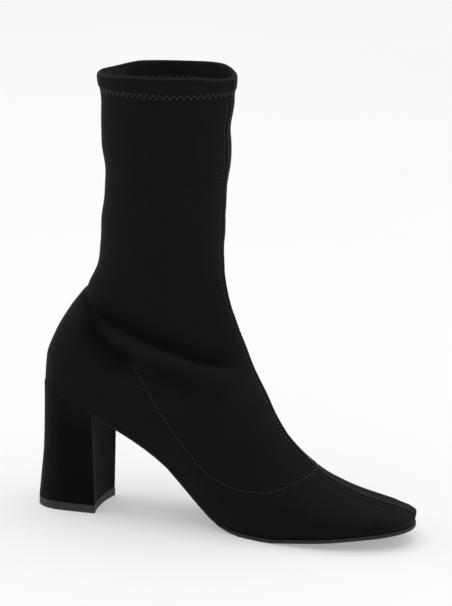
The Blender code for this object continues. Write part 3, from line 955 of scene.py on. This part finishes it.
def make_inside(look):
    """The upper's inner face, one wall in from its outer face, with the same folds."""
    grid, on_sole = surface_grid(*LINING_GRID)
    normals = grid_normals(grid, on_sole)
    below = (grid[:, :, 2].mean(axis=1) < COLLAR_HEIGHT - HEM_HEIGHT - LINING_TOP) | on_sole
    folds = fold_relief(grid)[0] + shaft_relief(grid)
    away = np.minimum(folds, 0.0003) - WALL - 0.0016 * smooth(-folds, 0.0002, 0.0012)
    verts = (grid + normals * away[:, :, None])[below]
    faces = [tuple(reversed(face)) for face in grid_faces(len(verts), verts.shape[1])]
    add_piece("upper_inside", verts.reshape(-1, 3), faces, look, "upper")


def breast_x(across):
    """Front of the heel block, 0 in its middle and -1 and 1 at its inner and outer corner."""
    return HEEL_LENGTH - across * HEEL_SKEW / 2 - BREAST_HOLLOW * (1 - across ** 2)


def heel_ring(share):
    """Outline of the heel block at a share of its height, from its inner corner round the back."""
    turn = np.linspace(0, math.pi / 2, HEEL_ARC_POINTS)
    straight = np.linspace(0, 0.5, HEEL_SIDE_POINTS + 1)[1:]
    along = np.concatenate([(1 - np.cos(turn)) / 2, 0.5 + straight])
    wide = np.concatenate([np.sin(turn) ** HEEL_CORNER, np.ones(HEEL_SIDE_POINTS)])
    rear = (SEAT_BACK + GAP) * share
    ring = []
    for side in (-1, 1):
        x = rear + along * (breast_x(side) - rear)
        seat = np.maximum(np.minimum(half_width(x, -1), half_width(x, 1)) - GAP, 0)
        seat = np.minimum(seat, wide * HEEL_WIDTH * HEEL_SEAT_REACH)
        y = side * ((1 - share) * wide * HEEL_WIDTH / 2 + share * seat)
        ring.append(np.stack([x, y], 1))
    across = np.linspace(1, -1, BREAST_POINTS + 2)[1:-1]
    half = ring[1][-1, 1]
    breast = np.stack([breast_x(across), across * half], 1)
    return np.concatenate([ring[0][::-1], ring[1][1:], breast])


def make_heel_cover(look):
    """Microsuede wrap of the heel block, from the tip to the seat, with painted shade on its side and
    breast.
    """
    rows = []
    painted_shading_values = []
    for share in np.linspace(0, 1, HEEL_RINGS):
        ring = heel_ring(share)
        # Painted shade on the heel's side and breast, fading out towards the seat
        low = 1 - smooth(share, 0.70, 1.0)
        on_breast = np.arange(len(ring)) >= len(ring) - BREAST_POINTS
        on_side = HEEL_SIDE_SHADE * smooth(ring[:, 0], 0.002, 0.026)
        painted_shading_values.append(np.where(on_breast, BREAST_SHADE, on_side) * low)
        z = (seat_line(ring[:, 0]) + HEEL_TUCK) * share + (1 - share) * (TIP_THICK + GAP * 0.2)
        rows.append(np.stack([ring[:, 0], ring[:, 1], z], 1))
    count = len(rows[0])
    faces = []
    for i in range(len(rows) - 1):
        for j in range(count):
            k = (j + 1) % count
            faces.append((i * count + j, i * count + k, (i + 1) * count + k, (i + 1) * count + j))
    faces.append(tuple(reversed(range(count))))
    faces.append(tuple(range((len(rows) - 1) * count, len(rows) * count)))
    verts = np.concatenate(rows)
    painted_shading_values = np.concatenate(painted_shading_values)
    piece = add_piece("heel_cover", verts, faces, look, "heel_block", painted_shading_values)
    bevel = piece.modifiers.new("corners", "BEVEL")
    bevel.width = HEEL_EDGE
    bevel.segments = 3
    bevel.limit_method = "ANGLE"
    bevel.angle_limit = math.radians(40)
    bevel.harden_normals = True


def surface_tree(piece):
    """Search tree over a piece, to lay stitches on it."""
    mesh = piece.data
    points = [v.co.copy() for v in mesh.vertices]
    return BVHTree.FromPolygons(points, [tuple(p.vertices) for p in mesh.polygons])


def laid_path(tree, points):
    """A path put on the surface: places and outward directions, in the row's frame."""
    places = []
    outs = []
    for point in points:
        hit, normal, _, _ = tree.find_nearest(Vector(point))
        places.append(hit)
        outs.append(normal)
    return places, outs


def even_path(points, pitch):
    """Points of a path at an even distance."""
    line = np.array([tuple(p) for p in points])
    run = path_run(line)
    count = max(2, int(run[-1] / pitch) + 1)
    at = np.linspace(0, run[-1], count)
    return np.stack([np.interp(at, run, line[:, c]) for c in range(3)], 1)


def thread_piece(name, stitches, look):
    """Short threads, each a tapered bead between two points on the surface."""
    verts = []
    faces = []
    for start, end, out in stitches:
        along = (end - start).normalized()
        side = along.cross(out).normalized()
        up = side.cross(along)
        base = len(verts)
        for share, size, lift in BEAD:
            middle = start.lerp(end, share) + up * THREAD * lift
            for k in range(BEAD_SIDES):
                turn = 2 * math.pi * k / BEAD_SIDES
                verts.append(middle + (side * math.cos(turn) + up * math.sin(turn)) * THREAD * size)
        for ring in range(len(BEAD) - 1):
            for k in range(BEAD_SIDES):
                a = base + ring * BEAD_SIDES + k
                b = base + ring * BEAD_SIDES + (k + 1) % BEAD_SIDES
                faces.append((a, b, b + BEAD_SIDES, a + BEAD_SIDES))
    local = [tuple(v - ORIGIN) for v in verts]
    add_piece(name, local, faces, look, "upper")


def row_of_stitches(tree, points):
    """Stitches end to end along a path on the surface."""
    places, outs = laid_path(tree, even_path(points, STITCH_PITCH))
    stitches = []
    for a, b, out in zip(places, places[1:], outs):
        along = (b - a).normalized()
        stitches.append((a, a + along * STITCH_LENGTH, out))
    return stitches


def front_seam_rows(tree):
    """Two rows of stitches beside the front seam, from the hem to the toe."""
    grid, _ = surface_grid(*SEAM_GRID)
    line = grid[3:, grid.shape[1] // 2]
    line = line[line[:, 2] < COLLAR_HEIGHT - HEM_HEIGHT - 0.001]
    stitches = []
    for side in (-1, 1):
        moved = line + np.array([0.0, side * STITCH_OFF, 0.0]) + np.array(ORIGIN)
        stitches += row_of_stitches(tree, moved)
    return stitches


def side_path(points, side):
    """A line given in side view, put roughly on one side of the boot, in the row's frame."""
    flat = curve_points(points, 80)
    grid, _ = surface_grid(*SIDE_GRID)
    on_side = grid.reshape(-1, 3)
    on_side = on_side[side * (on_side[:, 1] - centre(on_side[:, 0])) >= -0.0025]
    placed = []
    for x, z in flat:
        near = np.argmin((on_side[:, 0] - x) ** 2 + (on_side[:, 2] - z) ** 2)
        placed.append((x, on_side[near, 1], z))
    path = np.array(placed)
    for _ in range(6):
        path[1:-1, 1] = (path[:-2, 1] + 2 * path[1:-1, 1] + path[2:, 1]) / 4
    return path + np.array(ORIGIN)


def hem_zigzag(tree, inside):
    """Zigzag stitches round the hem's lower edge, on its outer or its inner face."""
    grid, _ = surface_grid(*HEM_GRID)
    ring = grid[-1]
    middle = ring.mean(axis=0)
    height = COLLAR_HEIGHT - HEM_HEIGHT - 0.0006 + (ZIGZAG_INSIDE_UP if inside else 0.0)
    line = ring.copy()
    line[:, 2] = 0
    places = []
    outs = []
    for k, point in enumerate(even_path(line, ZIGZAG_PITCH / ZIGZAG_POINTS)):
        direction = Vector((point[0] - middle[0], point[1] - middle[1], 0.0)).normalized()
        swing = abs((k / (ZIGZAG_POINTS / 2)) % 2 - 1) * 2 - 1
        z = height + swing * ZIGZAG_HEIGHT / 2
        start = Vector((middle[0], middle[1], z))
        aim = direction
        if not inside:
            start = Vector((point[0], point[1], z)) + 0.01 * direction
            aim = -direction
        hit, out, _, _ = tree.ray_cast(start + ORIGIN, aim)
        places.append(hit)
        outs.append(out)
    return list(zip(places[:-1:2], places[2::2], outs[1::2]))


def make_stage():
    """Pale floor that runs into a pale background, faintly lit from below like a light table."""
    mesh = bpy.data.meshes.new("floor")
    size = 12.0
    corners = [(-size, -size, 0), (size, -size, 0), (size, size, 0), (-size, size, 0)]
    mesh.from_pydata(corners, [], [(0, 1, 2, 3)])
    look = Shader("studio_floor", Roughness=0.9, Specular_IOR_Level=0.1, Emission_Strength=0.34)
    look.main.inputs["Emission Color"].default_value = (1.0, 1.0, 1.0, 1.0)
    floor = bpy.data.objects.new("floor", mesh)
    colour = look.ramp(look.noise(scale=2, detail=1), 0.58, 0.60)
    mesh.materials.append(look.finish(colour))
    bpy.context.scene.collection.objects.link(floor)
    world = bpy.data.worlds.new("studio")
    bpy.context.scene.world = world
    world.use_nodes = True
    background = world.node_tree.nodes["Background"]
    background.inputs["Color"].default_value = (1.0, 1.0, 1.0, 1.0)
    background.inputs["Strength"].default_value = 0.66
    bpy.context.scene.view_settings.view_transform = "Standard"


def make_light(name, place, aim, size, power):
    """A soft area light."""
    data = bpy.data.lights.new(name, "AREA")
    data.shape = "RECTANGLE"
    data.size = size[0]
    data.size_y = size[1]
    data.energy = power
    light = bpy.data.objects.new(name, data)
    light.location = place
    light.rotation_euler = (Vector(aim) - Vector(place)).to_track_quat("-Z", "Y").to_euler()
    bpy.context.scene.collection.objects.link(light)


# The photograph's view, brought in on this one boot: the fitted camera's angle, height and
# distance, with the lens long enough for the boot to fill the frame
VIEW_AZIMUTH = 20.4
VIEW_ELEVATION = 13.05
VIEW_DISTANCE = 1.955
VIEW_TARGET = Vector((0.1217, -0.0039, 0.1342)) + ORIGIN
VIEW_LENS = 195.0


def make_camera():
    """Camera at the photograph's angle."""
    data = bpy.data.cameras.new("camera")
    data.sensor_fit = "AUTO"
    data.sensor_width = 36.0
    data.lens = VIEW_LENS
    data.clip_end = 50.0
    camera = bpy.data.objects.new("camera", data)
    a, e = math.radians(VIEW_AZIMUTH), math.radians(VIEW_ELEVATION)
    back = Vector((math.sin(a) * math.cos(e), -math.cos(a) * math.cos(e), math.sin(e)))
    camera.location = VIEW_TARGET + back * VIEW_DISTANCE
    camera.rotation_euler = (-back).to_track_quat("-Z", "Y").to_euler()
    bpy.context.scene.collection.objects.link(camera)
    bpy.context.scene.camera = camera


def dress_node(node, look):
    """Gives a solid of the frame its finished material."""
    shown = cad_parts[node]
    for slot in shown.material_slots:
        slot.material = look


make_camera()
make_stage()
make_light("overhead", place=(0.0, 0.6, 6.0), aim=(0.0, 0.0, 0.0), size=(8.0, 8.0), power=190)
make_light("left", place=(-1.5, 0.1, 1.0), aim=(0.0, 0.0, 0.12), size=(0.6, 1.2), power=3)
make_light("right", place=(1.7, 0.2, 0.9), aim=(0.0, 0.0, 0.12), size=(0.6, 1.2), power=5.5)

suede = microsuede("microsuede_cover", 0.0050, 0.0068)
heel_suede = microsuede("microsuede_heel", 0.0050, 0.0064)
thread = make_thread()
lining = make_lining()
cover = make_cover(suede)
make_inside(lining)
tree = surface_tree(cover)
thread_piece("front_stitches", front_seam_rows(tree), thread)
for name, side, points in VAMP_LINES:
    thread_piece(name, row_of_stitches(tree, side_path(points, side)), thread)
thread_piece("hem_zigzag", hem_zigzag(tree, False), thread)
thread_piece("hem_zigzag_inside", hem_zigzag(tree, True), thread)
make_heel_cover(heel_suede)
dress_node("outsole", make_rubber("sole_rubber", 0.018, 0.030, black_arch=True))
dress_node("heel_tip", make_rubber("heel_tip_rubber", 0.028, 0.044))
dress_node("insole", lining)
